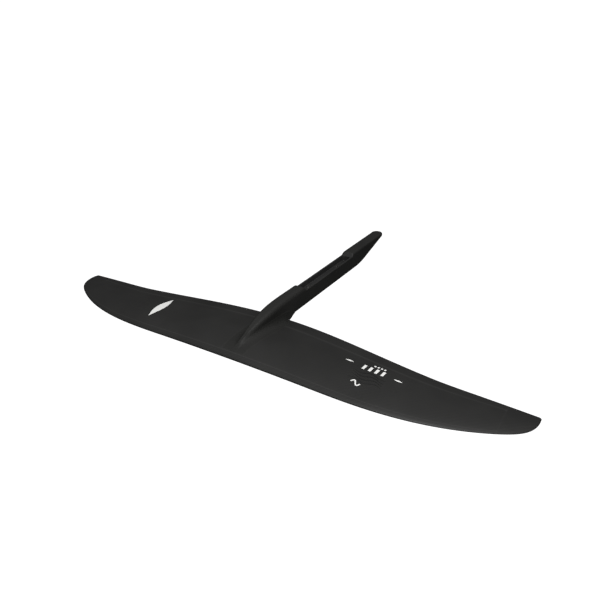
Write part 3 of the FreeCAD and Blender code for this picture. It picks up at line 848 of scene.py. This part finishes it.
white_ink = print_ink("white_ink", (0.80, 0.80, 0.78), 0.5, 0.4)
gloss_ink = print_ink("gloss_ink", (0.008, 0.008, 0.008), 0.2, 0.5)
for mark, ink in zip(printed_marks(), (white_ink, white_ink, gloss_ink)):
    mark.data.materials.append(ink)
    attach(mark, "root")

# ---- studio -------------------------------------------------------------------------------
def area_light(name, at, target, size, power):
    data = bpy.data.lights.new(name, "AREA")
    data.shape, data.size, data.energy = "DISK", size, power
    light = bpy.data.objects.new(name, data)
    bpy.context.collection.objects.link(light)
    light.location = at
    light.rotation_euler = (Vector(target) - Vector(at)).to_track_quat("-Z", "Y").to_euler()


def studio():
    """Soft lights over the right-hand front, in a dim room with a bright ceiling."""
    for light in LIGHTS:
        area_light(*light)
    world = bpy.data.worlds.new("studio")
    world.use_nodes = True
    nodes, links = world.node_tree.nodes, world.node_tree.links
    direction = nodes.new("ShaderNodeTexCoord")
    split = nodes.new("ShaderNodeSeparateXYZ")
    share = nodes.new("ShaderNodeMapRange")
    room = nodes.new("ShaderNodeValToRGB")
    share.inputs["From Min"].default_value = -1.0
    links.new(direction.outputs["Generated"], split.inputs[0])
    links.new(split.outputs["Z"], share.inputs["Value"])
    links.new(share.outputs[0], room.inputs[0])
    links.new(room.outputs[0], nodes["Background"].inputs["Color"])
    tones = room.color_ramp.elements
    tones[0].position, tones[0].color = 0.0, (*[ROOM_TONES[0][1]] * 3, 1.0)
    tones[1].position, tones[1].color = 1.0, (*[ROOM_TONES[-1][1]] * 3, 1.0)
    for height, tone in ROOM_TONES[1:-1]:
        tones.new((height + 1) / 2).color = (*[tone] * 3, 1.0)
    bpy.context.scene.world = world


def backdrop():
    """Pale floor that curves up into an even white backdrop. It only shows: it lights nothing."""
    radius, low, bend = BOWL_RADIUS, FLOOR, BOWL_BEND
    profile = [(0.02, low), (2.0, low), (radius - bend, low)]
    profile += [(radius - bend + bend * math.sin(a), low + bend * (1 - math.cos(a)))
                for a in line(0.0, math.pi / 2, 12)]
    profile += [(radius * math.cos(a), low + bend + radius * math.sin(a)) for a in line(0.0, 1.55, 16)]
    angles = np.linspace(0.0, 2 * math.pi, 97)[:-1]
    vertices = [(r * math.cos(a), r * math.sin(a), z) for r, z in profile for a in angles]
    count = len(angles)
    faces = []
    for i in range(len(profile) - 1):
        for j in range(count):
            k = (j + 1) % count
            faces.append((i * count + j, (i + 1) * count + j, (i + 1) * count + k, i * count + k))
    faces.append(tuple(range(count)))
    mesh = bpy.data.meshes.new("backdrop")
    mesh.from_pydata(vertices, [], faces)
    sheet = bpy.data.objects.new("backdrop", mesh)
    sheet.data.polygons.foreach_set("use_smooth", [True] * len(mesh.polygons))
    sheet.data.materials.append(paper("paper", (0.30, 0.30, 0.30), 1.0))
    bpy.context.collection.objects.link(sheet)
    sheet.visible_diffuse = sheet.visible_glossy = sheet.visible_transmission = sheet.visible_shadow = False


def camera():
    data = bpy.data.cameras.new("camera")
    data.lens, data.sensor_width, data.sensor_fit = CAMERA_LENS, SENSOR, "HORIZONTAL"
    data.clip_start, data.clip_end = 0.01, 50.0
    azimuth, elevation = math.radians(CAMERA_AZIMUTH), math.radians(CAMERA_ELEVATION)
    back = Vector((math.sin(azimuth) * math.cos(elevation), -math.cos(azimuth) * math.cos(elevation),
                   math.sin(elevation)))
    right = Vector((math.cos(azimuth), math.sin(azimuth), 0.0))
    turn = Matrix((right, back.cross(right), back)).transposed().to_4x4()
    eye = bpy.data.objects.new("camera", data)
    bpy.context.collection.objects.link(eye)
    eye.matrix_world = Matrix.Translation(place(CAMERA_PLACE)) @ turn
    bpy.context.scene.camera = eye


studio()
backdrop()
camera()
bpy.context.scene.view_settings.view_transform = "Standard"
